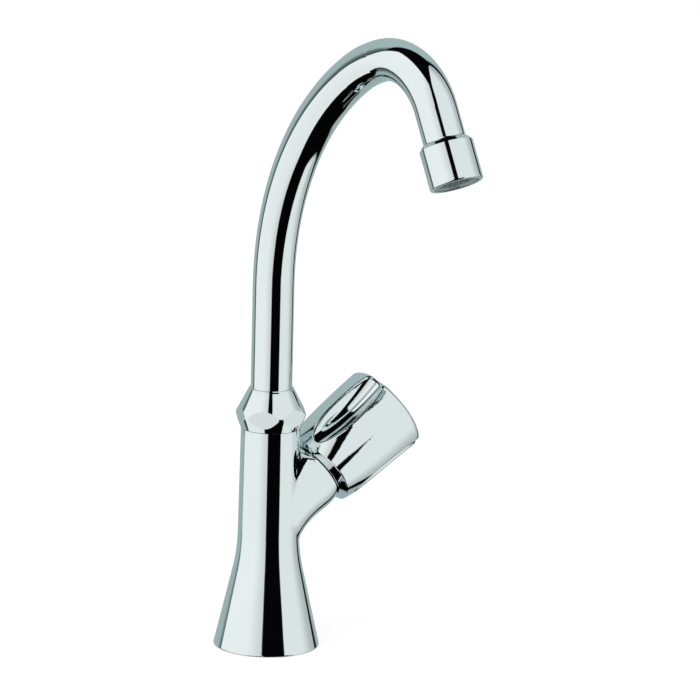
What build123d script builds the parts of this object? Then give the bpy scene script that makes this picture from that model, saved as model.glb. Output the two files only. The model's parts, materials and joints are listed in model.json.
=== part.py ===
from build123d import *
from math import cos, exp, radians, sin, sqrt, tan
import os

# Pillar tap in millimetres. Z points up and the tap's axis is the Z axis.
# The origin is where that axis meets the top of the deck that the tap stands on.
# The valve branch leans out over +X. The spout turns about Z and rests over -Y.

# Clearances
thread_gap = 0.05
running_gap = 0.06
seat_gap = 0.05
seal_squeeze_gap = 0.05
cap_gap = 0.05
screen_gap = 0.03
clip_gap = 0.02
stop_gap = 0.1
spline_gap = 0.1
screw_hole_play = 0.3
screw_tip_gap = 1.0
flat_seal_play = 0.1

# How far a cutting or joining shape runs past the face that it meets
overrun = 1.0

# Column
foot_radius = 24.4
foot_edge_round = 0.6
flare_angle = 12.9
flare_bend_radius = 80.0
column_top_radius = 13.6
column_taper_angle = 0.6
column_height = 102.3

# Underside of the foot
gasket_thickness = 2.5
gasket_side_play = 0.2
gasket_shank_play = 0.8
foot_rim_width = 2.9
inlet_boss_radius = 14.0
foot_hollow_height = 20.0
foot_hollow_wall = 3.6

# Threaded shank and what clamps the tap to the deck
pipe_thread_radius = 10.478
shank_bore_radius = 6.5
shank_height_in_foot = 16.0
shank_length_below = 60.0
shank_end_chamfer = 1.0
connector_thread_length = 13.0
thread_relief_width = 2.5
thread_relief_depth = 1.0
shank_seal_thickness = 1.5
deck_thickness = 30.0
deck_seal_thickness = 3.0
deck_seal_radius = 19.0
washer_hole_play = 0.3
clamp_washer_thickness = 1.5
clamp_washer_radius = 18.0
backnut_across_flats = 30.0
backnut_height = 9.0
backnut_chamfer = 1.2
backnut_face_inset = 0.5

# Valve branch, measured along the valve's axis from the tap's axis
valve_height = 60.9
valve_lean = 35.3
branch_end = 31.8
branch_end_radius = 13.5
branch_end_round = 0.8
branch_flare = 0.09
branch_blend_start = 14.0
branch_blend_radius = 22.0
branch_blend_steps = 4
branch_root = -2.0
crotch_round = 8.0

# Waterways inside the body
seat_distance = 9.0
seat_hole_radius = 5.5
chamber_radius = 9.7
thread_start = 22.0
port_offset = 3.5
port_radius = 4.5
port_rise = 11.1

# Spout socket on top of the column
socket_radius = 9.0
socket_depth = 16.3
spigot_radius = 11.9
spigot_height = 8.7

# Union nut
nut_belly_rise = 6.9
nut_rise = 19.0
nut_lip_height = 1.0
nut_lip_round = 0.55
nut_foot_round = 0.45
nut_belly_round = 2.0
nut_belly_radius = 16.4
nut_lip_radius = 10.35
nut_shoulder_inset = 0.25
nut_flat_distance = 14.55
nut_clocking = 15.5
nut_sides = 6

# Spout tail and its rings
glide_ring_thickness = 0.8
tail_flange_thickness = 2.5
tail_flange_radius = 11.4
tail_bore_radius = 6.5
tail_end_gap = 1.0
tail_spigot_length = 10.0
tail_groove_radius = 7.4
tail_groove_side_play = 0.4
lower_tail_seal_rise = 6.0
upper_tail_seal_rise = 13.0

# Spout tube
tube_radius = 9.5
tube_wall = 1.0
tube_rise = 168.9
first_bend_radius = 127.4
first_bend_angle = 56.16
second_bend_radius = 66.7
second_bend_angle = 17.92
third_bend_radius = 32.2
third_bend_angle = 79.0
straight_end_length = 15.1
spout_rest_turn = -84.0

# Threaded end and aerator, measured along the outlet's own axis from the tube's visible end
shoulder_length = 1.5
aerator_radius = 12.0
aerator_length = 19.3
aerator_edge_round = 0.7
ferrule_thread_radius = 11.0
ferrule_length = 8.5
tube_seat_depth = 4.0
shoulder_lip = 0.15
shoulder_hollow = 1.2
aerator_seal_thickness = 1.5
aerator_seal_side_play = 0.2
insert_side_play = 0.1
insert_flange_thickness = 1.2
insert_radius = 10.2
insert_wall = 1.3
insert_recess = 1.1
outlet_screen_thickness = 1.2
outlet_screen_cell = 2.3
outlet_screen_bar = 0.55
diffuser_depth = 3.0
diffuser_thickness = 1.2
diffuser_hole_radius = 0.6
diffuser_hole_count = 12
diffuser_hole_circle = 6.0
strainer_thickness = 0.4
strainer_radius = 7.2
strainer_hole_radius = 0.7
strainer_pitch = 2.4

# Headwork, along the valve's axis
seat_seal_thickness = 2.0
seat_seal_hole_radius = 5.9
disc_thickness = 2.6
disc_radius = 8.4
disc_opening_radius = 6.2
disc_land = 1.0
driver_thickness = 3.0
driver_width = 6.0
driver_radius = 7.4
tongue_width = 2.9
tongue_depth = 1.2
thrust_washer_thickness = 0.8
thrust_washer_radius = 8.2
cage_radius = 9.4
cage_tip_gap = 0.3
window_width = 9.0
window_floor_rise = 0.2
headwork_washer_thickness = 1.0
headwork_washer_radius = 12.2
headwork_washer_width = 2.1
hexagon_across_flats = 22.0
hexagon_height = 6.0
neck_radius = 8.0
neck_height = 2.2
stop_height = 2.0
stop_inner_radius = 6.0
stop_outer_radius = 7.5
stop_lug_angle = 88.0

# Spindle
spindle_radius = 4.5
spindle_groove_radius = 3.5
inner_spindle_seal_rise = 25.0
outer_spindle_seal_rise = 30.0
spindle_groove_side_play = 0.3
clip_groove_radius = 3.9
clip_radius = 5.6
clip_thickness = 0.8
clip_mouth = 5.0
spline_radius = 4.0
spline_depth = 0.35
spline_teeth = 20
spline_length = 12.0
spline_run_out = 1.0
screw_radius = 1.95
screw_head_radius = 3.9
screw_head_height = 2.8
screw_slot_width = 1.0
screw_slot_depth = 1.2
screw_grip = 9.0

# Knob, along the valve's axis
knob_back_overlap = 0.3
knob_back_length = 1.5
knob_back_radius = 14.6
knob_back_edge_round = 0.6
knob_base_radius = 19.0
knob_length = 47.9
knob_swell = 5.8
knob_swell_length = 25.5
knob_draw_in = 2.3
lobe_count = 3
lobe_height_at_base = 1.2
lobe_loss = 1.5
lobe_loss_length = 13.7
ridge_height = 0.2
knob_outline_points = 36
knob_section_steps = 7
knob_section_spread = 1.5
knob_dome_radius = 110.0
knob_rim_round = 2.6
knob_clocking = 24.5
knob_cavity_radius = 14.1
knob_cavity_depth = 14.5
flute_radius = 9.0
flute_sweep_radius = 72.0
flute_middle = 20.0
flute_depth = 4.6
flute_edge_round = 1.8
insert_bush_radius = 8.0
insert_bush_length = 14.0
bush_floor_thickness = 2.5
knob_web_thickness = 3.0
counterbore_radius = 5.2
index_cap_radius = 7.5
index_cap_thickness = 1.6
index_stem_radius = 5.0
index_stem_wall = 1.2
index_stem_length = 7.0

# Heights and stations that follow from the sizes above
flare_slope = tan(radians(flare_angle))
taper_slope = tan(radians(column_taper_angle))
bend_height = (foot_radius - column_top_radius - column_height * taper_slope) / (flare_slope - taper_slope)
bend_radius_there = foot_radius - bend_height * flare_slope
socket_floor = column_height - socket_depth
port_bottom = valve_height + port_rise
spigot_top = column_height + spigot_height
flange_bottom = spigot_top + glide_ring_thickness + seat_gap
flange_top = flange_bottom + tail_flange_thickness
upper_ring_top = flange_top + glide_ring_thickness
nut_top = column_height + nut_rise
tail_bottom = socket_floor + tail_end_gap
tail_radius = socket_radius - running_gap
tube_bore_radius = tube_radius - tube_wall
fixed_disc_start = seat_distance + seat_seal_thickness
turning_disc_start = fixed_disc_start + disc_thickness + seat_gap
driver_start = turning_disc_start + disc_thickness + seat_gap
driver_end = driver_start + driver_thickness
thrust_washer_start = driver_end + seat_gap
cage_ceiling = thrust_washer_start + thrust_washer_thickness
hexagon_start = branch_end + headwork_washer_thickness
neck_start = hexagon_start + hexagon_height
stop_start = neck_start + neck_height
stop_end = stop_start + stop_height
clip_start = stop_end + seat_gap
spline_start = clip_start + clip_thickness + spline_run_out
spindle_end = spline_start + spline_length
knob_back = branch_end - knob_back_overlap
knob_base = knob_back + knob_back_length
knob_end = knob_back + knob_length
cavity_end = knob_back + knob_cavity_depth
bush_end = cavity_end + insert_bush_length
screw_seat = bush_end + knob_web_thickness
cap_floor = knob_end - index_cap_thickness
lean = radians(valve_lean)

valve_frame = Plane(
    origin=(0, 0, valve_height),
    x_dir=(sin(lean), 0, -cos(lean)),
    z_dir=(cos(lean), 0, sin(lean)),
)


def turned(*outline):
    """A solid of revolution about Z from a closed outline of (radius, height) points."""
    return revolve(make_face(Plane.XZ * Polyline(*outline, close=True)), Axis.Z)


def rod(radius, low, high):
    """A round bar on the Z axis between two heights."""
    return Pos(0, 0, low) * Cylinder(radius, high - low, align=(Align.CENTER, Align.CENTER, Align.MIN))


def ring(inner, outer, low, high):
    """A flat ring on the Z axis."""
    return rod(outer, low, high) - rod(inner, low, high)


def hexagon_bar(across_flats, low, high):
    """A hexagonal bar with one pair of flats across Y."""
    return extrude(Pos(0, 0, low) * RegularPolygon(across_flats / 2, 6, major_radius=False), high - low)


def o_ring(groove_radius, bore_radius, height):
    """A round-section ring that fills a groove out to just short of the bore round it."""
    outer = bore_radius - seal_squeeze_gap
    cord_radius = (outer - groove_radius) / 2
    return Pos(0, 0, height) * Torus(groove_radius + cord_radius, cord_radius)


def groove_half_width(groove_radius, bore_radius, side_play):
    """Half the width of a groove that leaves its ring a little side play."""
    return (bore_radius - seal_squeeze_gap - groove_radius) / 2 + side_play / 2


def sector(inner, outer, low, high, angle):
    """A ring segment centred on the X axis."""
    across, aside = cos(radians(angle / 2)), sin(radians(angle / 2))
    outer_start, outer_end = (outer * across, -outer * aside), (outer * across, outer * aside)
    inner_start, inner_end = (inner * across, -inner * aside), (inner * across, inner * aside)
    outline = Line(inner_start, outer_start)
    outline += ThreePointArc(outer_start, (outer, 0), outer_end)
    outline += Line(outer_end, inner_end)
    outline += ThreePointArc(inner_end, (inner, 0), inner_start)
    return extrude(Pos(0, 0, low) * make_face(outline), high - low)


# Body


def column():
    """The flared foot running up into the nearly straight column, with the spout's threaded spigot."""
    bend = FilletPolyline(
        (foot_radius, 0),
        (bend_radius_there, bend_height),
        (column_top_radius, column_height),
        radius=flare_bend_radius,
    )
    close = Polyline((column_top_radius, column_height), (0, column_height), (0, 0), (foot_radius, 0))
    solid = revolve(make_face(Plane.XZ * (bend + close)), Axis.Z)
    rim = solid.edges().filter_by(GeomType.CIRCLE).sort_by(Axis.Z)[0]
    solid = fillet(rim, foot_edge_round)
    return solid + rod(spigot_radius, column_height, spigot_top)


def branch_reach(station):
    """How far the branch's underside lies from the valve's axis, blending out into the column."""
    reach = branch_end_radius + branch_flare * (branch_end - station)
    if station < branch_blend_start:
        reach += (branch_blend_start - station) ** 2 / (2 * branch_blend_radius)
    return reach


def branch_section(station):
    """A round section whose lower half is drawn out as far as the underside reaches."""
    half_width = branch_end_radius
    reach = branch_reach(station)
    lower = EllipticalCenterArc((0, 0), reach, half_width, start_angle=-90, arc_size=180)
    upper = CenterArc((0, 0), half_width, 90, 180)
    return valve_frame * Pos(0, 0, station) * make_face(lower + upper)


def branch():
    """The valve branch, from inside the column to its open end."""
    stations = [branch_root]
    for step in range(branch_blend_steps):
        stations.append(branch_root + (branch_blend_start - branch_root) * (step + 1) / branch_blend_steps)
    stations.append(branch_end)
    solid = loft([branch_section(station) for station in stations])
    valve_axis = Axis(valve_frame.origin, valve_frame.z_dir)
    end_face = solid.faces().filter_by(GeomType.PLANE).sort_by(valve_axis)[-1]
    return fillet(end_face.edges(), branch_end_round)


def foot_hollow():
    """The ring-shaped hollow under the foot, round the boss that the shank screws into."""
    low_radius = foot_radius - gasket_thickness * flare_slope - foot_hollow_wall
    high_radius = foot_radius - foot_hollow_height * flare_slope - foot_hollow_wall
    return turned(
        (inlet_boss_radius, gasket_thickness - overrun),
        (low_radius, gasket_thickness - overrun),
        (low_radius, gasket_thickness),
        (high_radius, foot_hollow_height),
        (inlet_boss_radius, foot_hollow_height),
    )


def body():
    """One casting: column, branch and every bore that is cut into them."""
    upright = Rot(0, 0, 180) * column()
    side = branch()
    joined = upright + side
    solid = fillet(new_edges(upright, side, combined=joined), crotch_round)
    shank_hole_top = shank_height_in_foot + shank_seal_thickness
    solid -= rod(foot_radius - foot_rim_width, -overrun, gasket_thickness)
    solid -= foot_hollow()
    solid -= rod(pipe_thread_radius + thread_gap, 0, shank_hole_top)
    solid -= rod(shank_bore_radius, shank_hole_top - overrun, valve_height)
    solid -= valve_frame * rod(seat_hole_radius, branch_root, seat_distance + overrun)
    solid -= valve_frame * rod(chamber_radius, seat_distance, thread_start + overrun)
    solid -= valve_frame * rod(pipe_thread_radius + thread_gap, thread_start, branch_end + overrun)
    solid -= Pos(port_offset, 0, 0) * rod(port_radius, port_bottom, socket_floor + overrun)
    solid -= rod(socket_radius, socket_floor, spigot_top + overrun)
    return solid


# Deck fixing


def inlet_shank():
    """Threaded tube that screws up into the foot, with a relief groove above the thread of its free end."""
    solid = ring(shank_bore_radius, pipe_thread_radius, -shank_length_below, shank_height_in_foot)
    end_edge = solid.edges().filter_by(GeomType.CIRCLE).group_by(Axis.Z)[0].sort_by(SortBy.RADIUS)[-1]
    solid = chamfer(end_edge, shank_end_chamfer)
    low = shank_end_chamfer + connector_thread_length - shank_length_below
    return solid - ring(
        pipe_thread_radius - thread_relief_depth,
        pipe_thread_radius + overrun,
        low,
        low + thread_relief_width,
    )


def shank_seal():
    top = shank_height_in_foot + shank_seal_thickness
    return ring(shank_bore_radius, pipe_thread_radius, shank_height_in_foot, top)


def base_gasket():
    return ring(
        pipe_thread_radius + gasket_shank_play,
        foot_radius - foot_rim_width - gasket_side_play,
        0,
        gasket_thickness,
    )


def under_deck_seal():
    low = -deck_thickness - deck_seal_thickness
    return ring(pipe_thread_radius + washer_hole_play, deck_seal_radius, low, -deck_thickness)


def clamp_washer():
    high = -deck_thickness - deck_seal_thickness
    low = high - clamp_washer_thickness
    return ring(pipe_thread_radius + washer_hole_play, clamp_washer_radius, low, high)


def backnut():
    high = -deck_thickness - deck_seal_thickness - clamp_washer_thickness
    low = high - backnut_height
    corner = backnut_across_flats / sqrt(3)
    blank = turned(
        (0, low),
        (backnut_across_flats / 2 - backnut_face_inset, low),
        (corner, low + backnut_chamfer),
        (corner, high - backnut_chamfer),
        (backnut_across_flats / 2 - backnut_face_inset, high),
        (0, high),
    )
    solid = blank & hexagon_bar(backnut_across_flats, low, high)
    return solid - rod(pipe_thread_radius + thread_gap, low - overrun, high + overrun)


# Union nut and the spout's foot


def union_nut():
    """A ring with a cone above and below its widest line, and six spanner flats cut into it."""
    cone_top = nut_top - nut_lip_height
    blank = turned(
        (0, column_height),
        (column_top_radius, column_height),
        (nut_belly_radius, column_height + nut_belly_rise),
        (nut_lip_radius + nut_shoulder_inset, cone_top),
        (nut_lip_radius, cone_top),
        (nut_lip_radius, nut_top),
        (0, nut_top),
    )
    foot, belly, lip = 0, 1, -1
    for rim, round_radius in ((belly, nut_belly_round), (foot, nut_foot_round), (lip, nut_lip_round)):
        rims = blank.edges().filter_by(GeomType.CIRCLE).sort_by(Axis.Z)
        blank = fillet(rims[rim], round_radius)
    flats = Pos(0, 0, column_height) * RegularPolygon(nut_flat_distance, nut_sides, major_radius=False)
    solid = blank & Rot(0, 0, nut_clocking) * extrude(flats, nut_rise)
    solid -= rod(spigot_radius + thread_gap, column_height - overrun, upper_ring_top + 2 * seat_gap)
    return solid - rod(tube_radius + running_gap, column_height, nut_top + overrun)


def lower_glide_ring():
    return ring(socket_radius, tail_flange_radius, spigot_top, spigot_top + glide_ring_thickness)


def upper_glide_ring():
    return ring(tube_radius + running_gap, tail_flange_radius, flange_top, upper_ring_top)


def spout_tail():
    """Bush in the foot of the tube: sealing tail below, turning flange, and a spigot inside the tube."""
    solid = rod(tail_radius, tail_bottom, flange_bottom)
    solid += rod(tail_flange_radius, flange_bottom, flange_top)
    solid += rod(tube_bore_radius, flange_top, flange_top + tail_spigot_length)
    half = groove_half_width(tail_groove_radius, socket_radius, tail_groove_side_play)
    for rise in (lower_tail_seal_rise, upper_tail_seal_rise):
        height = socket_floor + rise
        solid -= ring(tail_groove_radius, socket_radius + overrun, height - half, height + half)
    return solid - rod(tail_bore_radius, tail_bottom - overrun, flange_top + tail_spigot_length + overrun)


# Spout tube


def spout_line():
    """Centre line of the tube in the XZ plane, from the flange to the tube's hidden end."""
    upright = Line((0, flange_top), (0, tube_rise))
    first = JernArc(upright @ 1, upright % 1, first_bend_radius, -first_bend_angle)
    second = JernArc(first @ 1, first % 1, second_bend_radius, -second_bend_angle)
    third = JernArc(second @ 1, second % 1, third_bend_radius, -third_bend_angle)
    end = Line(third @ 1, (third @ 1) + (third % 1) * (straight_end_length + tube_seat_depth))
    return upright, first, second, third, end


def outlet_frame():
    """Frame at the visible end of the tube, with Z pointing out of the spout."""
    end = spout_line()[-1]
    visible_end = (end @ 0) + (end % 0) * straight_end_length
    direction = end % 0
    return Plane(
        origin=(visible_end.X, 0, visible_end.Y),
        x_dir=(0, 1, 0),
        z_dir=(direction.X, 0, direction.Y),
    )


def spout_tube():
    line = spout_line()
    path = Plane.XZ * (line[0] + line[1] + line[2] + line[3] + line[4])
    section = Pos(0, 0, flange_top) * (Circle(tube_radius) - Circle(tube_bore_radius))
    return sweep(section, path)


# Spout end and aerator, drawn upright with the water running towards +Z


def spout_end_ferrule():
    """Threaded bush on the tube's end, whose shoulder is hollowed to the tube and coned to the aerator."""
    neck = tube_radius + shoulder_lip
    hollow = CenterArc((neck + shoulder_hollow, -shoulder_hollow), shoulder_hollow, 90, 90)
    rest = Polyline(
        (neck, -shoulder_hollow),
        (tube_radius + thread_gap, -shoulder_hollow),
        (tube_radius + thread_gap, tube_seat_depth),
        (tube_bore_radius, tube_seat_depth),
        (tube_bore_radius, ferrule_length),
        (ferrule_thread_radius, ferrule_length),
        (ferrule_thread_radius, shoulder_length),
        (aerator_radius, shoulder_length),
        (neck + shoulder_hollow, 0),
    )
    return revolve(make_face(Plane.XZ * (hollow + rest)), Axis.Z)


def aerator_housing():
    """Screw-on sleeve with a rounded lower edge and an inner ledge that the insert sits on."""
    ledge = ferrule_length + aerator_seal_thickness + insert_flange_thickness
    solid = rod(aerator_radius, shoulder_length, aerator_length)
    edge = solid.edges().filter_by(GeomType.CIRCLE).sort_by(Axis.Z)[-1]
    solid = fillet(edge, aerator_edge_round)
    solid -= rod(ferrule_thread_radius + thread_gap, shoulder_length - overrun, ledge)
    return solid - rod(insert_radius + thread_gap, ledge - overrun, aerator_length + overrun)


def aerator_seal():
    outer = ferrule_thread_radius - aerator_seal_side_play
    return ring(tube_bore_radius, outer, ferrule_length, ferrule_length + aerator_seal_thickness)


def hexagon_cells(radius, cell, bar):
    """Centres of hexagonal cells that lie wholly inside a circle."""
    pitch = cell + bar
    rows = int(radius / pitch) + 1
    centres = []
    for row in range(-rows, rows + 1):
        for column_number in range(-rows, rows + 1):
            x = (column_number + (row % 2) / 2) * pitch
            y = row * pitch * sqrt(3) / 2
            if sqrt(x * x + y * y) + cell / sqrt(3) < radius:
                centres.append((x, y))
    return centres


def aerator_insert():
    """Plastic cartridge: flange, sleeve and a plate with a circle of mixing holes."""
    start = ferrule_length + aerator_seal_thickness
    end = aerator_length - insert_recess
    solid = rod(ferrule_thread_radius - insert_side_play, start, start + insert_flange_thickness)
    solid += rod(insert_radius, start, end)
    plate_top = start + diffuser_depth
    plate_bottom = plate_top + diffuser_thickness
    solid -= rod(insert_radius - insert_wall, start - overrun, plate_top)
    solid -= rod(insert_radius - insert_wall, plate_bottom, end + overrun)
    hole = rod(diffuser_hole_radius, plate_top - overrun, plate_bottom + overrun)
    for number in range(diffuser_hole_count):
        turn = number * 360 / diffuser_hole_count
        solid -= Rot(0, 0, turn) * Pos(diffuser_hole_circle, 0, 0) * hole
    return solid


def outlet_screen():
    """Honeycomb plate across the mouth of the insert."""
    radius = insert_radius - insert_wall - screen_gap
    end = aerator_length - insert_recess
    start = end - outlet_screen_thickness
    cells = Sketch()
    for centre in hexagon_cells(radius - outlet_screen_bar, outlet_screen_cell, outlet_screen_bar):
        cells += Pos(*centre) * RegularPolygon(outlet_screen_cell / 2, 6, major_radius=False, rotation=30)
    return rod(radius, start, end) - extrude(Pos(0, 0, start) * cells, outlet_screen_thickness)


def strainer_screen():
    """Perforated steel disc that lies in the insert's mouth above the mixing holes."""
    radius = insert_radius - insert_wall - seat_gap
    start = ferrule_length + aerator_seal_thickness + diffuser_depth - strainer_thickness
    hole_width = 2 * strainer_hole_radius
    holes = Sketch()
    for centre in hexagon_cells(strainer_radius, hole_width, strainer_pitch - hole_width):
        holes += Pos(*centre) * Circle(strainer_hole_radius)
    disc = rod(radius, start, start + strainer_thickness)
    return disc - extrude(Pos(0, 0, start) * holes, strainer_thickness)


# Headwork, drawn upright with the valve's axis along +Z


def headwork_body():
    """Brass headwork: cage for the discs, thread, hexagon, neck and the fixed half of the stop."""
    solid = rod(cage_radius, seat_distance + cage_tip_gap, thread_start)
    solid += rod(pipe_thread_radius, thread_start, branch_end)
    solid += rod(headwork_washer_radius - headwork_washer_width - flat_seal_play, branch_end, hexagon_start)
    solid += hexagon_bar(hexagon_across_flats, hexagon_start, neck_start)
    solid += rod(neck_radius, neck_start, stop_start)
    fixed_stop = sector(stop_inner_radius, stop_outer_radius, stop_start, stop_end, stop_lug_angle)
    solid += Rot(0, 0, 180) * fixed_stop
    solid -= rod(disc_radius + thread_gap, seat_distance, cage_ceiling)
    solid -= rod(spindle_radius + running_gap, seat_distance, stop_end + overrun)
    window_height = driver_thickness - 2 * window_floor_rise
    window = Box(4 * cage_radius, window_width, window_height)
    return solid - Pos(0, 0, driver_start + driver_thickness / 2) * window


def headwork_washer():
    inner = headwork_washer_radius - headwork_washer_width
    return ring(inner, headwork_washer_radius, branch_end, hexagon_start)


def seat_seal():
    return ring(seat_seal_hole_radius, disc_radius, seat_distance, fixed_disc_start)


def half_moon(height):
    """The half-moon water opening through a disc, on the +Y side."""
    shape = Circle(disc_opening_radius) & Pos(0, disc_land + disc_opening_radius) * Rectangle(
        2 * disc_opening_radius, 2 * disc_opening_radius
    )
    return extrude(Pos(0, 0, height) * shape, disc_thickness)


def fixed_disc():
    return rod(disc_radius, fixed_disc_start, turning_disc_start - seat_gap) - half_moon(fixed_disc_start)


def turning_disc():
    """Its opening faces away from the fixed disc's when the tap is shut."""
    top = turning_disc_start + disc_thickness
    solid = rod(disc_radius - running_gap, turning_disc_start, top)
    solid -= Rot(0, 0, 180) * half_moon(turning_disc_start)
    slot_depth = tongue_depth + seat_gap
    slot = Pos(0, 0, top - slot_depth / 2) * Box(4 * disc_radius, tongue_width + 2 * running_gap, slot_depth)
    return solid - slot


def thrust_washer():
    return ring(spindle_radius + running_gap, thrust_washer_radius, thrust_washer_start, cage_ceiling)


def spline_outline(radius):
    """Outline of the spline: a ring of teeth with straight flanks."""
    points = []
    for number in range(2 * spline_teeth):
        reach = radius if number % 2 == 0 else radius - spline_depth
        angle = radians(number * 180 / spline_teeth)
        points.append((reach * cos(angle), reach * sin(angle)))
    return make_face(Polyline(*points, close=True))


def spindle():
    """Driver bar with its tongue, shaft with seal and clip grooves, splined end with a tapped hole."""
    bar = Box(2 * driver_radius, driver_width, driver_thickness)
    tongue = Box(2 * driver_radius, tongue_width, tongue_depth)
    driver = Pos(0, 0, driver_start + driver_thickness / 2) * bar
    driver += Pos(0, 0, driver_start - tongue_depth / 2) * tongue
    solid = driver & rod(driver_radius, driver_start - tongue_depth, driver_end)
    solid += rod(spindle_radius, driver_end - overrun, spline_start)
    bore = spindle_radius + running_gap
    half = groove_half_width(spindle_groove_radius, bore, spindle_groove_side_play)
    for height in (inner_spindle_seal_rise, outer_spindle_seal_rise):
        solid -= ring(spindle_groove_radius, spindle_radius + overrun, height - half, height + half)
    solid -= ring(clip_groove_radius, spindle_radius + overrun, clip_start, clip_start + clip_thickness)
    solid += extrude(Pos(0, 0, spline_start) * spline_outline(spline_radius), spline_length)
    return solid - rod(screw_radius + thread_gap, spindle_end - screw_grip, spindle_end + overrun)


def spindle_seal(height):
    return o_ring(spindle_groove_radius, spindle_radius + running_gap, height)


def stop_ring():
    """Ring on the spindle whose lug meets the fixed half of the stop after half a turn each way."""
    low = stop_start + seat_gap
    inner = spindle_radius + running_gap
    solid = ring(inner, stop_inner_radius - stop_gap, low, stop_end)
    lug = sector(inner, stop_outer_radius, low, stop_end, stop_lug_angle)
    return solid + Rot(0, 0, -90) * lug


def spindle_clip():
    """C-shaped spring clip in the spindle's groove."""
    solid = ring(clip_groove_radius + clip_gap, clip_radius, clip_start, clip_start + clip_thickness)
    mouth = Box(2 * clip_radius, clip_mouth, 2 * clip_thickness)
    return solid - Pos(clip_radius, 0, clip_start + clip_thickness / 2) * mouth


# Knob, drawn upright with the valve's axis along +Z


def knob_radius(station, angle):
    """Distance from the valve's axis to the knob's side. Lobes at the base turn into ridges at the end."""
    rise = station - knob_base
    radius = knob_base_radius + knob_swell * (1 - exp(-rise / knob_swell_length))
    radius -= knob_draw_in * rise / (knob_length - knob_back_length)
    change = 1 - exp(-rise / lobe_loss_length)
    lobe = (lobe_height_at_base - lobe_loss * change) * cos(radians(lobe_count * angle))
    return radius + lobe + ridge_height * change * cos(radians(2 * lobe_count * angle))


def knob_section(station):
    """Smooth lobed outline across the knob, drawn as one closed curve."""
    points = []
    for number in range(knob_outline_points):
        angle = 360 * number / knob_outline_points
        reach = knob_radius(station, angle)
        points.append((reach * cos(radians(angle)), reach * sin(radians(angle))))
    return Pos(0, 0, station) * make_face(Spline(*points, periodic=True))


def knob_bell():
    """The swelling side of the knob, closed by a shallow dome with a rounded rim and by a coned back."""
    sections = []
    for step in range(knob_section_steps + 1):
        part_way = (step / knob_section_steps) ** knob_section_spread
        sections.append(knob_section(knob_back + knob_length * part_way))
    dome = Pos(0, 0, knob_end - knob_dome_radius) * Rot(0, 90, 0) * Sphere(knob_dome_radius)
    solid = loft(sections) & dome
    rim = solid.edges().sort_by(Axis.Z)[-1]
    solid = fillet(rim, knob_rim_round)
    widening = (knob_base_radius - knob_back_radius) / knob_back_length
    cone_height = 2 * knob_length
    cone = turned(
        (0, knob_back),
        (knob_back_radius, knob_back),
        (knob_back_radius + cone_height * widening, knob_back + cone_height),
        (0, knob_back + cone_height),
    )
    coned = solid & cone
    back_edge = new_edges(solid, cone, combined=coned).sort_by(Axis.Z)[-1]
    return fillet(back_edge, knob_back_edge_round)


def flute():
    """A large ring that scoops a leaf-shaped valley between two lobes where it dips into the knob."""
    middle = knob_base + flute_middle
    surface = knob_radius(middle, 180 / lobe_count)
    ring_centre = surface - flute_depth + flute_radius + flute_sweep_radius
    far_side = Pos(ring_centre + flute_sweep_radius, 0, middle) * Rot(0, 0, 180) * Circle(flute_radius)
    return revolve(far_side, Axis((ring_centre, 0, middle), (0, 1, 0)))


def handle():
    """Three-lobed knob, open at the back, with a socket for the splined bush and a screw hole."""
    solid = knob_bell()
    for number in range(lobe_count):
        cutter = Rot(0, 0, 360 * (number + 0.5) / lobe_count) * flute()
        scooped = solid - cutter
        solid = fillet(new_edges(solid, cutter, combined=scooped), flute_edge_round)
    solid -= rod(knob_cavity_radius, knob_back - overrun, cavity_end)
    solid -= rod(insert_bush_radius + seat_gap, cavity_end - overrun, bush_end)
    solid -= rod(screw_radius + screw_hole_play, bush_end - overrun, screw_seat + overrun)
    solid -= rod(counterbore_radius, screw_seat, knob_end + overrun)
    solid -= rod(index_cap_radius + cap_gap, cap_floor, knob_end + overrun)
    return Rot(0, 0, knob_clocking) * solid


def spline_insert():
    solid = rod(insert_bush_radius, cavity_end, bush_end)
    spline = Pos(0, 0, cavity_end - overrun) * spline_outline(spline_radius + spline_gap)
    solid -= extrude(spline, insert_bush_length + overrun - bush_floor_thickness)
    return solid - rod(screw_radius + screw_hole_play, cavity_end, bush_end + overrun)


def handle_screw():
    """Screw with a slotted head, through the knob's web into the spindle."""
    top = screw_seat + screw_head_height
    solid = rod(screw_radius, spindle_end - screw_grip + screw_tip_gap, screw_seat + overrun)
    solid += rod(screw_head_radius, screw_seat, top)
    slot = Pos(0, 0, top) * Box(3 * screw_head_radius, screw_slot_width, 2 * screw_slot_depth)
    return solid - slot


def index_cap():
    """Plain plug that covers the screw: a domed disc on a hollow stem."""
    disc = rod(index_cap_radius, cap_floor, knob_end + overrun)
    dome = Pos(0, 0, knob_end - knob_dome_radius) * Sphere(knob_dome_radius)
    stem_bore = index_stem_radius - index_stem_wall
    stem = ring(stem_bore, index_stem_radius, cap_floor - index_stem_length, cap_floor)
    return (disc & dome) + stem


def on_spout(shape):
    """Turn a piece of the spout from the XZ plane to where the spout rests."""
    return Rot(0, 0, spout_rest_turn) * shape


def at_outlet(shape):
    return on_spout(outlet_frame() * shape)


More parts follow.
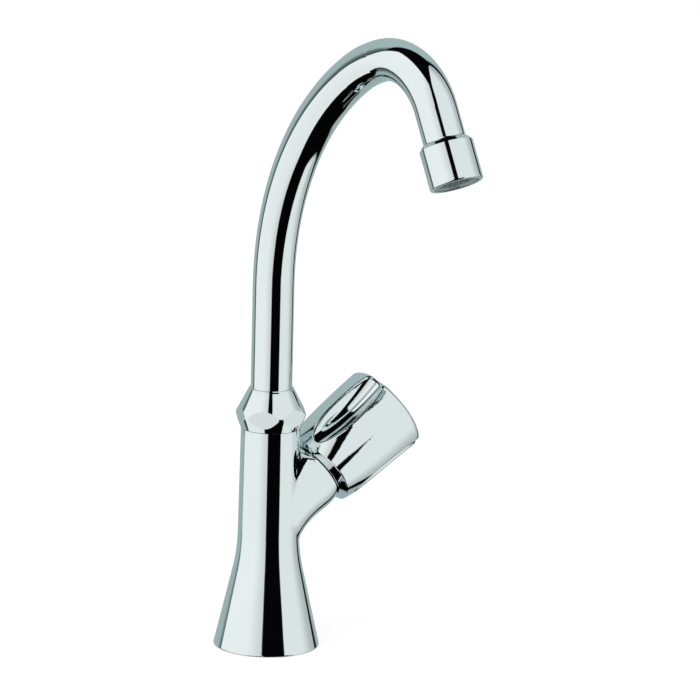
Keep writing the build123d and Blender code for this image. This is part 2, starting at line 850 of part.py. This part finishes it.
pieces = {
    "body": body(),
    "inlet_shank": inlet_shank(),
    "shank_seal": shank_seal(),
    "base_gasket": base_gasket(),
    "under_deck_seal": under_deck_seal(),
    "clamp_washer": clamp_washer(),
    "backnut": backnut(),
    "union_nut": union_nut(),
    "lower_glide_ring": lower_glide_ring(),
    "upper_glide_ring": upper_glide_ring(),
    "spout_tail": spout_tail(),
    "lower_spout_seal": o_ring(tail_groove_radius, socket_radius, socket_floor + lower_tail_seal_rise),
    "upper_spout_seal": o_ring(tail_groove_radius, socket_radius, socket_floor + upper_tail_seal_rise),
    "spout_tube": on_spout(spout_tube()),
    "spout_end_ferrule": at_outlet(spout_end_ferrule()),
    "aerator_housing": at_outlet(aerator_housing()),
    "aerator_seal": at_outlet(aerator_seal()),
    "aerator_insert": at_outlet(aerator_insert()),
    "strainer_screen": at_outlet(strainer_screen()),
    "outlet_screen": at_outlet(outlet_screen()),
    "headwork_body": valve_frame * headwork_body(),
    "headwork_washer": valve_frame * headwork_washer(),
    "seat_seal": valve_frame * seat_seal(),
    "fixed_disc": valve_frame * fixed_disc(),
    "turning_disc": valve_frame * turning_disc(),
    "thrust_washer": valve_frame * thrust_washer(),
    "spindle": valve_frame * spindle(),
    "inner_spindle_seal": valve_frame * spindle_seal(inner_spindle_seal_rise),
    "outer_spindle_seal": valve_frame * spindle_seal(outer_spindle_seal_rise),
    "stop_ring": valve_frame * stop_ring(),
    "spindle_clip": valve_frame * spindle_clip(),
    "handle": valve_frame * handle(),
    "spline_insert": valve_frame * spline_insert(),
    "handle_screw": valve_frame * handle_screw(),
    "index_cap": valve_frame * index_cap(),
}

os.makedirs("parts", exist_ok=True)
for name, shape in pieces.items():
    export_step(shape, f"parts/{name}.step")
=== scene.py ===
# %% [markdown]
# # A chrome pillar tap
#
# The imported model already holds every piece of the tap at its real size, in metres, standing on the deck
# at height zero. This lesson dresses it: each piece gets a finish, the shank's thread is cut, and a small
# studio is built round it. Chrome shows nothing but the room that it stands in, so most of the likeness
# comes from the studio.

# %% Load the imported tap
import json
from math import cos, degrees, pi, radians, sin, tan

import bmesh
import bpy
from mathutils import Matrix, Vector


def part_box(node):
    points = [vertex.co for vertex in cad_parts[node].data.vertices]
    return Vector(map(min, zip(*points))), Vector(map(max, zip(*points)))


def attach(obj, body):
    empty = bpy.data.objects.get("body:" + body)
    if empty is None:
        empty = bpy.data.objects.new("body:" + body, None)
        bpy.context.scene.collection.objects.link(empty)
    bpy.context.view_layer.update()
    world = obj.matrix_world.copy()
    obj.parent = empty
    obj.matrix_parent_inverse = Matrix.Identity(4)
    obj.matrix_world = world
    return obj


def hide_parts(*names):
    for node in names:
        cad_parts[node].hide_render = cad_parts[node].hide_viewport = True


def in_mm(metres, digits=1):
    """A length in millimetres, for the lines that this script prints."""
    return round(metres * 1000, digits)


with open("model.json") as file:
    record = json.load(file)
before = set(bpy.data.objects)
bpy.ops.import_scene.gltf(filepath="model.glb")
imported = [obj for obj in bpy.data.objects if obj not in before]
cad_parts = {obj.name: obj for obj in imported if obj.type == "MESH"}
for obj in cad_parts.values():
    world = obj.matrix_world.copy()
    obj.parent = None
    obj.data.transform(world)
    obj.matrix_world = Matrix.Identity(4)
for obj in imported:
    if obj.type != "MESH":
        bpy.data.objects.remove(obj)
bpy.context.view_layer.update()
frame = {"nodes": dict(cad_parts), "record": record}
nodes = frame["nodes"]

# %% [markdown]
# ## Shader maths as plain sums
#
# A material is a tree of small nodes. Written node by node, even a simple sum is hard to read. So one small
# class wraps a node's output and lets Python's own signs add the Math nodes: `1 - mask * 0.5` builds two.


# %% A node's output that can be used in sums
class Output:
    """One output socket, which + - * / turn into Math nodes."""

    def __init__(self, tree, socket):
        self.tree = tree
        self.socket = socket

    def math(self, operation, *values):
        """A Math node on these values, which are numbers or outputs."""
        return self.tree.node("ShaderNodeMath", {"operation": operation}, dict(enumerate(values)))

    def __add__(self, other):
        return self.math("ADD", self, other)

    def __sub__(self, other):
        return self.math("SUBTRACT", self, other)

    def __mul__(self, other):
        return self.math("MULTIPLY", self, other)

    def __truediv__(self, other):
        return self.math("DIVIDE", self, other)

    def __rsub__(self, other):
        return self.math("SUBTRACT", other, self)

    __radd__ = __add__
    __rmul__ = __mul__

    def larger(self, other):
        return self.math("MAXIMUM", self, other)

    def size(self):
        return self.math("ABSOLUTE", self)

    def root(self):
        return self.math("SQRT", self)

    def smooth(self, low, high):
        """0 below low, 1 above high, and a soft step between. With low above high it falls instead."""
        settings = {"interpolation_type": "SMOOTHSTEP"}
        ends = {"Value": self, "From Min": low, "From Max": high}
        if low > high:
            ends = {"Value": self, "From Min": high, "From Max": low, "To Min": 1.0, "To Max": 0.0}
        return self.tree.node("ShaderNodeMapRange", settings, ends)


# %% [markdown]
# Every other node comes from one method. It sets the node's own settings first, because some of them change
# which sockets the node has, and then fills in its sockets with numbers or with links. A Mix node has
# sockets of the same name for numbers, vectors and colours, so its colour sockets are picked by number.


# %% A node tree that is built call by call
class Tree:
    """The nodes of one material or of the world."""

    def __init__(self, owner):
        owner.use_nodes = True
        self.tree = owner.node_tree
        self.tree.nodes.clear()

    def node(self, kind, settings=None, sockets=None, output=0):
        """Adds one node and gives back one of its outputs, picked by number or name."""
        made = self.tree.nodes.new(kind)
        for name, value in (settings or {}).items():
            setattr(made, name, value)
        for name, value in (sockets or {}).items():
            if isinstance(value, Output):
                self.tree.links.new(value.socket, made.inputs[name])
            else:
                made.inputs[name].default_value = value
        return Output(self, made.outputs[output]) if made.outputs else None


mix_share, mix_first_colour, mix_second_colour, mixed_colour = 0, 6, 7, 2


def blend_colours(tree, share, first, second):
    """A colour that goes from the first to the second as share goes from 0 to 1."""
    first, second = [(*colour, 1.0) if isinstance(colour, tuple) else colour for colour in (first, second)]
    sockets = {mix_share: share, mix_first_colour: first, mix_second_colour: second}
    return tree.node("ShaderNodeMix", {"data_type": "RGBA"}, sockets, mixed_colour)


print("shader helpers ready")

# %% [markdown]
# ## Marks that a finish is made of
#
# Scratches, grooves and haze could come from painted pictures, but those need every piece unwrapped. Noise
# on Object coordinates needs nothing, and runs on across each piece. These coordinates are metres on every
# piece here, so a noise scale of 400 has features about 2.5 mm wide. Turning marks run round an axis, so
# they are noise that changes only along that axis.


# %% Patterns on the surface
def spots(tree, place, scale, detail=2.0, roughness=0.5):
    """Cloudy noise from 0 to 1."""
    sockets = {"Vector": place, "Scale": scale, "Detail": detail, "Roughness": roughness}
    return tree.node("ShaderNodeTexNoise", None, sockets)


def stretched(tree, place, scale, turn=(0, 0, 0)):
    """The place scaled on each axis and then turned, which only takes it to another part of the noise."""
    sockets = {"Vector": place, "Rotation": turn, "Scale": scale}
    return tree.node("ShaderNodeMapping", {"vector_type": "POINT"}, sockets)


def streaks(tree, place, scale, turn, detail, roughness=0.5):
    """Noise drawn out into fine lines along the axis with the smallest scale."""
    return spots(tree, stretched(tree, place, scale, turn), 1.0, detail, roughness)


def bumped(tree, height, strength, distance):
    """A surface normal that follows a small height map."""
    sockets = {"Strength": strength, "Distance": distance, "Height": height}
    return tree.node("ShaderNodeBump", None, sockets)


def finish_material(name):
    """An empty material, its tree and the object coordinates in it."""
    material = bpy.data.materials.new(name)
    tree = Tree(material)
    place = tree.node("ShaderNodeTexCoord", output="Object")
    return material, tree, place


def close_material(tree, colour, roughness, metallic, normal, **constants):
    """Ends the tree in one Principled surface."""
    sockets = {"Base Color": colour, "Roughness": roughness, "Metallic": metallic, "Normal": normal}
    for socket, value in constants.items():
        sockets[socket.replace("_", " ")] = value
    surface = tree.node("ShaderNodeBsdfPrincipled", None, sockets)
    tree.node("ShaderNodeOutputMaterial", None, {"Surface": surface})


# %% [markdown]
# ## Polished chrome
#
# The body, nut, spout, sleeve and knob are brass with a bright chrome plate. A perfect mirror with a cool
# cast would nearly do. What tells the plate from it is slight: a faint haze that comes and goes, hairline
# wiping marks, and a very shallow waviness left by hand polishing. Stronger marks would look like a cheap
# casting, so all are kept low.


# %% Chrome
def chrome(name):
    """Bright plate, nearly a mirror."""
    mirror_roughness, haze_gain, wiping_gain = 0.018, 0.022, 0.014
    clear, hazy = (0.775, 0.845, 0.853), (0.795, 0.860, 0.866)
    waviness = 0.00001
    material, tree, place = finish_material(name)
    haze = spots(tree, place, scale=60.0, detail=3.0)
    wiped = streaks(tree, place, scale=(900.0, 60.0, 300.0), turn=(0.3, 0.2, 0.5), detail=4.0, roughness=0.6)
    haze_part = haze_gain * haze.smooth(0.35, 0.75)
    wiping_part = wiping_gain * wiped.smooth(0.62, 0.80)
    roughness = mirror_roughness + haze_part + wiping_part
    polish = spots(tree, place, scale=120.0, detail=1.0)
    colour = blend_colours(tree, haze, clear, hazy)
    close_material(tree, colour, roughness, metallic=1.0, normal=bumped(tree, polish, 1.0, waviness))
    return material


finishes = {"chrome": chrome("polished_chrome")}
print("made", finishes["chrome"].name)

# %% [markdown]
# ## Turned brass and stamped steel
#
# The shank, nuts, headwork and spindle are turned from brass bar, so fine grooves run round them. Brass left
# bare also goes a little brown in patches. The washers and the clip are steel, stamped and then tumbled,
# which leaves short scratches in every direction. Two sets of streaks that cross give that look, where one
# set would look brushed.


# %% Brass
def turned_brass(name):
    """Bare brass with the lathe's grooves round the upright axis, and brown patches."""
    bright, browned = (0.80, 0.62, 0.30), (0.62, 0.44, 0.20)
    smooth_roughness, groove_gain, stain_gain = 0.24, 0.10, 0.12
    groove_height = 0.00002
    material, tree, place = finish_material(name)
    along_axis = stretched(tree, place, scale=(0.0, 0.0, 1.0))
    grooves = spots(tree, along_axis, scale=5200.0, detail=2.0, roughness=0.7)
    stain = spots(tree, place, scale=220.0, detail=4.0, roughness=0.6)
    colour = blend_colours(tree, stain.smooth(0.35, 0.8), bright, browned)
    roughness = smooth_roughness + groove_gain * grooves + stain_gain * stain.smooth(0.45, 0.8)
    close_material(tree, colour, roughness, metallic=1.0, normal=bumped(tree, grooves, 0.6, groove_height))
    return material


finishes["brass"] = turned_brass("turned_brass")
print("made", finishes["brass"].name)


# %% Steel
def tumbled_steel(name, light, dark, smooth_roughness):
    """Steel with short scratches in two crossing directions."""
    scratch_gain, scratch_height = 0.16, 0.00001
    material, tree, place = finish_material(name)
    one_way = streaks(tree, place, scale=(3200.0, 260.0, 700.0), turn=(0.2, 0.1, 0.6), detail=3.0)
    other_way = streaks(tree, place, scale=(280.0, 3000.0, 700.0), turn=(0.1, 0.3, -0.8), detail=3.0)
    scratches = one_way.smooth(0.55, 0.75).larger(other_way.smooth(0.55, 0.75))
    colour = blend_colours(tree, spots(tree, place, scale=350.0, detail=3.0), light, dark)
    roughness = smooth_roughness + scratch_gain * scratches
    close_material(tree, colour, roughness, metallic=1.0, normal=bumped(tree, scratches, 0.4, scratch_height))
    return material


finishes["steel"] = tumbled_steel("tumbled_steel", (0.66, 0.67, 0.68), (0.55, 0.56, 0.57), 0.26)
finishes["spring_steel"] = tumbled_steel("blued_spring_steel", (0.34, 0.36, 0.40), (0.22, 0.23, 0.26), 0.30)
print("made", finishes["steel"].name, "and", finishes["spring_steel"].name)

# %% [markdown]
# ## Rubber, plastics, ceramic and fibre
#
# The rest is moulded, pressed or fired. Each has a fine skin: rubber is matt with a dusting of talc, moulded
# plastic has a slight pebble, lapped ceramic is nearly smooth, and pressed fibre is flecked. They differ
# only in tone, roughness, grain and coat, so one function makes them all from a row of a table.


# %% Moulded and pressed finishes
def moulded(name, base, patch, roughness, grain_scale, grain_height, coat=0.0):
    """A finish that isn't metal, with a fine grain and slightly different patches."""
    grain_gain = 0.12
    material, tree, place = finish_material(name)
    grain = spots(tree, place, grain_scale, detail=3.0, roughness=0.6)
    patches = spots(tree, place, scale=180.0, detail=3.0)
    colour = blend_colours(tree, patches.smooth(0.4, 0.8), base, patch)
    grainy_roughness = roughness - grain_gain / 2 + grain_gain * grain
    normal = bumped(tree, grain, 0.5, grain_height)
    close_material(tree, colour, grainy_roughness, metallic=0.0, normal=normal, Coat_Weight=coat)
    return material


# How high the grain stands
lapped, fine, coarse, dusted, flecked = 0.000003, 0.00001, 0.00002, 0.00003, 0.00005

# For each slot: the finish's name, its tone, its patches' tone, roughness, grain scale, grain height and coat
moulded_finishes = {
    "rubber": ("black_rubber", (0.028, 0.028, 0.030), (0.055, 0.055, 0.055), 0.62, 2600.0, dusted),
    "glide_plastic": ("white_glide_plastic", (0.86, 0.85, 0.80), (0.80, 0.79, 0.73), 0.38, 2000.0, fine),
    "insert_plastic": ("grey_insert_plastic", (0.24, 0.28, 0.29), (0.19, 0.23, 0.24), 0.42, 2400.0, fine),
    "screen_plastic": ("dark_screen_plastic", (0.13, 0.165, 0.17), (0.10, 0.13, 0.135), 0.50, 2400.0, fine),
    "bush_plastic": ("black_bush_plastic", (0.045, 0.045, 0.048), (0.07, 0.07, 0.072), 0.45, 2200.0, coarse),
    "fibre": ("pressed_fibre", (0.42, 0.16, 0.10), (0.26, 0.09, 0.06), 0.74, 3200.0, flecked),
    "ceramic": ("lapped_ceramic", (0.90, 0.89, 0.85), (0.86, 0.85, 0.80), 0.16, 5000.0, lapped, 0.3),
}
for slot_name, look in moulded_finishes.items():
    finishes[slot_name] = moulded(*look)
print("finishes:", ", ".join(sorted(finishes)))

# %% [markdown]
# ## Cutting the shank's thread
#
# The solids hold the shank as a plain cylinder at the thread's full diameter, which is what fits need. The
# real one has a G 1/2 thread: 14 turns to the inch, a 55 degree vee, 1.16 mm deep. A narrow groove parts the
# length that the supply's nut takes from the rest. A vee swept along a helix would have to be joined to the
# bar at both ends. So the tube is spun from its profile, and then each vertex of its outer wall is pushed
# inwards by how deep the vee is at its height and turn, which keeps it one closed wall.

# %% Sizes of the threaded shank
shank_low, shank_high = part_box("inlet_shank")
shank_radius = shank_high.x
shank_bore_radius = 0.0065
inch = 0.0254
thread_pitch = inch / 14
thread_depth = 0.00116
vee_steepness = 1.25
groove_width = 0.0025
inlet_thread_length = 0.0140
end_chamfer = 0.0010
steps_round = 96
rows_per_turn = 8
weld_distance = 1e-7
wall_play = 1e-6
print("shank from", in_mm(shank_low.z), "to", in_mm(shank_high.z), "mm, radius", in_mm(shank_radius, 3))


# %% Spin a wall from its profile
def spun(profile, steps):
    """A closed solid of revolution about Z from a closed ring of (radius, height) points."""
    mesh = bmesh.new()
    ring = [mesh.verts.new((radius, 0, height)) for radius, height in profile]
    edges = [mesh.edges.new((ring[number - 1], ring[number])) for number in range(len(ring))]
    settings = {"axis": (0, 0, 1), "cent": (0, 0, 0), "angle": 2 * pi, "steps": steps, "use_merge": True}
    bmesh.ops.spin(mesh, geom=ring + edges, **settings)
    bmesh.ops.remove_doubles(mesh, verts=mesh.verts, dist=weld_distance)
    bmesh.ops.recalc_face_normals(mesh, faces=mesh.faces)
    return mesh


def as_piece(mesh, name, smooth_angle=35):
    """Turns the finished bmesh into an object, smooth except across sharp edges."""
    data = bpy.data.meshes.new(name)
    mesh.to_mesh(data)
    mesh.free()
    made = bpy.data.objects.new(name, data)
    bpy.context.scene.collection.objects.link(made)
    data.shade_smooth()
    data.set_sharp_from_angle(angle=radians(smooth_angle))
    return made


# %% The thread's depth
groove_low = shank_low.z + inlet_thread_length
groove_high = groove_low + groove_width


def vee(height, angle):
    """The vee's depth here, from 0 on the crest to 1 at the root. Its steep sides leave both flat."""
    turn = (height / thread_pitch - angle / (2 * pi)) % 1.0
    return min(1.0, max(0.0, vee_steepness * (1.0 - abs(2.0 * turn - 1.0)) - (vee_steepness - 1.0) / 2))


def cut_thread(mesh):
    """Pushes the outer wall inwards along the vee, and to the vee's root all round the groove."""
    for vertex in mesh.verts:
        radius = vertex.co.xy.length
        if radius < shank_radius - wall_play:
            continue
        in_groove = groove_low < vertex.co.z < groove_high
        angle = -Vector((1, 0)).angle_signed(vertex.co.xy)
        depth = thread_depth * (1.0 if in_groove else vee(vertex.co.z, angle))
        vertex.co.xy *= (radius - depth) / radius


# %% The shank with its thread
threaded_length = shank_high.z - shank_low.z - 2 * end_chamfer
rows = int(threaded_length / (thread_pitch / rows_per_turn))
row_heights = [shank_low.z + end_chamfer + threaded_length * step / rows for step in range(rows + 1)]
chamfered_radius = shank_radius - end_chamfer
profile = [(shank_bore_radius, shank_high.z), (shank_bore_radius, shank_low.z)]
profile += [(chamfered_radius, shank_low.z)]
profile += [(shank_radius, height) for height in row_heights]
profile += [(chamfered_radius, shank_high.z)]
shank_mesh = spun(profile, steps_round)
cut_thread(shank_mesh)
threaded_shank = as_piece(shank_mesh, "threaded_shank")
threaded_shank.data.materials.append(finishes["brass"])
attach(threaded_shank, "tap_body")
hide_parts("inlet_shank")
print("threaded shank:", len(threaded_shank.data.polygons), "faces, pitch in mm:", in_mm(thread_pitch, 3))

# %% [markdown]
# ## Giving each piece its finish
#
# The record says which material slot each node takes. The finish of that name goes on the node's own slot.
# Naming the pieces here one by one would do too, but a piece that is added to the record later is dressed
# as well this way.

# %% Dress the carried-over pieces
for entry in frame["record"]["subparts"]:
    piece = nodes[entry["node"]]
    finish = finishes[entry["material_slot"]]
    for slot in piece.material_slots:
        slot.material = finish

# %% [markdown]
# ## The camera
#
# The picture was taken from well back with a long lens, a little above the tap and from its front left, so
# upright lines hardly converge. The place and the directions below were worked out from the tap's own
# outline. A camera that tracks an empty stands level. The real one leaned by about a degree, so this one
# gets its whole matrix.

# %% Camera
camera_place = Vector((-1.30143, -2.10393, 0.69565))
camera_right = Vector((0.845360, -0.533670, 0.023700))
camera_up = Vector((0.097650, 0.197980, 0.975330))
sensor_width = 36.0
focal_pixels = 5569.53
picture_pixels = 700
shift_right_pixels = 0.93
shift_down_pixels = 0.5

camera = bpy.data.objects.new("camera", bpy.data.cameras.new("camera"))
bpy.context.scene.collection.objects.link(camera)
camera.data.sensor_width = sensor_width
camera.data.lens = focal_pixels / picture_pixels * sensor_width
camera.data.shift_x = -shift_right_pixels / picture_pixels
camera.data.shift_y = shift_down_pixels / picture_pixels
camera.data.clip_start = 0.1
camera.data.clip_end = 50.0
camera_back = camera_right.cross(camera_up).normalized()
camera_up = camera_back.cross(camera_right).normalized()
camera_right = camera_up.cross(camera_back).normalized()
camera_turn = Matrix((camera_right, camera_up, camera_back)).transposed()
camera.matrix_world = Matrix.Translation(camera_place) @ camera_turn.to_4x4()
bpy.context.scene.camera = camera
print("camera", round(camera_place.length, 2), "m away, lens", round(camera.data.lens, 1), "mm")

# %% [markdown]
# ## The studio that the chrome shows
#
# A chrome tap is lit by what stands round it. The bands in the photograph tell what that was: a tall softbox
# on the left, a taller one on the right that reaches nearly overhead, a dark flag with the camera between
# them, a grey-green wall behind, and a dark ceiling and floor. Softboxes could stand round the tap as
# meshes. All of them are far away compared with the tap, so here they are drawn on the world, by direction
# alone, and can be moved without touching anything else. A flat panel seen from the tap keeps straight edges
# when each direction is divided by how far it points towards the panel, so every panel below is a plain
# rectangle in those slopes. Only mirror rays see the studio. All others see plain white, which is the
# background of the picture.

# %% Directions on the world
world = bpy.data.worlds.new("studio")
bpy.context.scene.world = world
studio = Tree(world)
direction = studio.node("ShaderNodeTexCoord", output="Generated")
camera_bearing = camera_place.xy.normalized()


def compass(bearing):
    """The level direction at a bearing in degrees: 0 is the camera's and 90 is the picture's right."""
    angle = radians(bearing)
    return (camera_bearing.x * cos(angle) - camera_bearing.y * sin(angle),
            camera_bearing.y * cos(angle) + camera_bearing.x * sin(angle), 0.0)


def measured_along(axis):
    """How far the direction points along an axis."""
    sockets = {0: direction, 1: axis}
    return studio.node("ShaderNodeVectorMath", {"operation": "DOT_PRODUCT"}, sockets, output="Value")


rise = measured_along((0.0, 0.0, 1.0))
rightwards = measured_along(compass(90))
bearing = rightwards.math("ARCTAN2", rightwards, measured_along(compass(0))) * degrees(1)
print("bearings ready")

# %% Flat panels
least_depth = 0.02


def slopes(facing):
    """Sideways and upward slopes of the direction, seen square to a panel that stands at this bearing."""
    towards = measured_along(compass(facing))
    in_front = towards.smooth(0.0, least_depth)
    depth = towards.larger(least_depth)
    return measured_along(compass(facing + 90)) / depth, rise / depth, in_front


def span(start, end):
    """The middle and the half length of the slopes between two angles in degrees."""
    low, high = tan(radians(start)), tan(radians(end))
    return (low + high) / 2, (high - low) / 2


def panel(facing, left, right, bottom, top, corner, blur):
    """1 on a panel with rounded corners and a soft edge. Its sides are bearings, its ends angles up."""
    sideways, upwards, in_front = slopes(facing)
    middle_across, half_width = span(left - facing, right - facing)
    middle_up, half_height = span(bottom, top)
    across = ((sideways - middle_across).size() - (half_width - corner)).larger(0.0)
    along = ((upwards - middle_up).size() - (half_height - corner)).larger(0.0)
    outside = (across * across + along * along).root()
    return outside.smooth(corner + blur, corner - blur) * in_front


left_box = panel(facing=-60, left=-111, right=-9.5, bottom=-60, top=65.5, corner=0.25, blur=0.07)
right_box = panel(facing=72, left=7.5, right=130, bottom=-61, top=74.5, corner=0.75, blur=0.10)
back_wall = panel(facing=180, left=142, right=246, bottom=-58, top=60, corner=0.25, blur=0.10)
print("softboxes and wall ready")

# %% [markdown]
# The flag is a dark board that the camera looks past. It covers the left part of the right softbox, its top
# slants down towards the picture's right, and it widens towards its foot. Without it the gap between the
# softboxes would be narrow, and so would the dark band that runs down the tube. It could be a black mesh,
# but a mesh would need see-through borders for this soft edge. Above the flag the left softbox ends a
# little sooner.

# %% The dark flag that the camera looks past
flag_facing = 17
flag_height = 0.36
flag_slant = 0.30
flag_half_width = 0.442
flag_spread = 0.30
flag_spread_start = -0.30
flag_top_blur = 0.03
flag_side_blur = 0.025

flag_sideways, flag_upwards, before_flag = slopes(flag_facing)
above_top = flag_upwards - (flag_height - flag_slant * flag_sideways)
widened = flag_half_width + flag_spread * (flag_spread_start - flag_upwards).larger(0.0)
past_side = flag_sideways.size() - widened
on_flag = above_top.smooth(flag_top_blur, -flag_top_blur) * past_side.smooth(flag_side_blur, -flag_side_blur)
past_flag = 1 - on_flag * before_flag
left_box_end = 1 - bearing.smooth(-14, -10) * rise.smooth(0.33, 0.40)
print("flag ready")

# %% [markdown]
# A softbox isn't evenly bright. The left one falls off towards the flag and towards its foot, and the right
# one towards its outer side. The wall is dimmer where it comes round on the left. Pictures of real softboxes
# would give this too, but a soft step between two bearings says it in a few numbers.


# %% Brightness of each panel
def fading(measure, start, end, loss):
    """1 up to the start, and then less by the loss as the measure goes on to the end."""
    return 1.0 - loss * measure.smooth(start, end)


right_strength = 0.90
wall_strength = 0.50
wall_gain_upwards = 0.05
wall_least_share = 0.30
room_glow = 0.0015
left_light = fading(bearing, -50, -8, loss=0.24) * fading(rise, 0.1, -0.8, loss=0.08)
right_light = right_strength * fading(bearing, 84, 124, loss=0.40)
wall_share = bearing.size().smooth(113, 130).larger(wall_least_share)
wall_light = (wall_strength + wall_gain_upwards * rise) * wall_share
print("panels have their brightness")

# %% Colour of each panel
left_tint, right_tint, wall_tint = (1.0, 1.0, 1.0), (0.975, 1.0, 1.0), (0.80, 1.0, 1.0)


def tinted(strength, tint):
    """A colour of that strength."""
    return studio.node("ShaderNodeVectorMath", {"operation": "SCALE"}, {0: tint, "Scale": strength})


def together(first, second):
    """The sum of two colours."""
    return studio.node("ShaderNodeVectorMath", {"operation": "ADD"}, {0: first, 1: second})


left_colour = tinted(left_box * left_light * past_flag * left_box_end, left_tint)
right_colour = tinted(right_box * right_light * past_flag, right_tint)
wall_colour = tinted(back_wall * wall_light + room_glow, wall_tint)
lit = together(together(left_colour, right_colour), wall_colour)

# %% Mirror rays see the studio, and all others plain white
plain_white = (1.0, 1.0, 1.0)
mirror_ray = studio.node("ShaderNodeLightPath", output="Is Glossy Ray")
seen = blend_colours(studio, mirror_ray, plain_white, lit)
background = studio.node("ShaderNodeBackground", None, {"Color": seen, "Strength": 1.0})
studio.node("ShaderNodeOutputWorld", None, {"Surface": background})
print("studio has", len(studio.tree.nodes), "nodes")

# %% [markdown]
# ## The floor
#
# The tap stands on a deck, so the floor is at height zero and has the hole that its shank passes through. It
# is plain and nearly white, and keeps a soft shadow round the foot. A shadow catcher would need a second
# step to lay it over white, so the floor is white to the camera for the most part and matt for the rest.
# The chrome doesn't show it: it would only put a bright patch in every underside, and the photograph has
# none there.

# %% Floor with its hole
hole_radius = 0.014
floor_radius = 7.0
floor_drop = 0.0001

floor_mesh = bmesh.new()
bmesh.ops.create_circle(floor_mesh, cap_ends=False, radius=hole_radius, segments=64)
wider = bmesh.ops.extrude_edge_only(floor_mesh, edges=list(floor_mesh.edges))
outer = [item for item in wider["geom"] if isinstance(item, bmesh.types.BMVert)]
outwards = floor_radius / hole_radius
bmesh.ops.scale(floor_mesh, vec=(outwards, outwards, 1), verts=outer)
bmesh.ops.recalc_face_normals(floor_mesh, faces=floor_mesh.faces)
bmesh.ops.translate(floor_mesh, vec=(0, 0, -floor_drop), verts=floor_mesh.verts)
floor = as_piece(floor_mesh, "floor")
floor.visible_glossy = False
print("floor", [round(side, 1) for side in floor.dimensions], "m")

# %% Floor material
floor_dark, floor_light = (0.90, 0.90, 0.90), (0.93, 0.93, 0.93)
white_share = 0.7
white_strength = 1.04

floor_material, floor_tree, floor_place = finish_material("pale_floor")
floor_grain = spots(floor_tree, floor_place, scale=40.0, detail=3.0)
floor_colour = blend_colours(floor_tree, floor_grain, floor_dark, floor_light)
matt = floor_tree.node("ShaderNodeBsdfDiffuse", None, {"Color": floor_colour})
emission = {"Color": (*plain_white, 1.0), "Strength": white_strength}
white = floor_tree.node("ShaderNodeEmission", None, emission)
camera_ray = floor_tree.node("ShaderNodeLightPath", output="Is Camera Ray")
mixed = floor_tree.node("ShaderNodeMixShader", None, {0: camera_ray * white_share, 1: matt, 2: white})
floor_tree.node("ShaderNodeOutputMaterial", None, {"Surface": mixed})
floor.data.materials.append(floor_material)
print("floor dressed")

# %% [markdown]
# ## Lamps
#
# One wide lamp hangs over the tap. It gives the floor's shadow a direction and shapes the rubber and
# plastic. A small lamp would draw a hard shadow on the pale floor, which the photograph doesn't have. The
# chrome already has its softboxes, so it doesn't show the lamp again.


# %% Overhead lamp
def soft_lamp(name, place, aim, width, height, watts):
    """A rectangular lamp that neither mirrors nor the camera see."""
    lamp = bpy.data.objects.new(name, bpy.data.lights.new(name, "AREA"))
    bpy.context.scene.collection.objects.link(lamp)
    lamp.data.shape = "RECTANGLE"
    lamp.data.size = width
    lamp.data.size_y = height
    lamp.data.energy = watts
    lamp.location = place
    lamp.rotation_euler = (Vector(place) - Vector(aim)).to_track_quat("Z", "Y").to_euler()
    lamp.visible_glossy = False
    lamp.visible_camera = False
    return lamp


above_left, low_on_column = (-0.7, -0.5, 1.5), (0, 0, 0.1)
overhead = soft_lamp("overhead_softbox", above_left, low_on_column, width=1.2, height=1.2, watts=8.0)
print("lamp", overhead.name, "of", overhead.data.energy, "W")

# %% [markdown]
# ## Colour as written
#
# The Standard view shows a colour as it is written. Blender's own choice gives a film look, which would turn
# the white background grey.

# %% View
bpy.context.scene.view_settings.view_transform = "Standard"
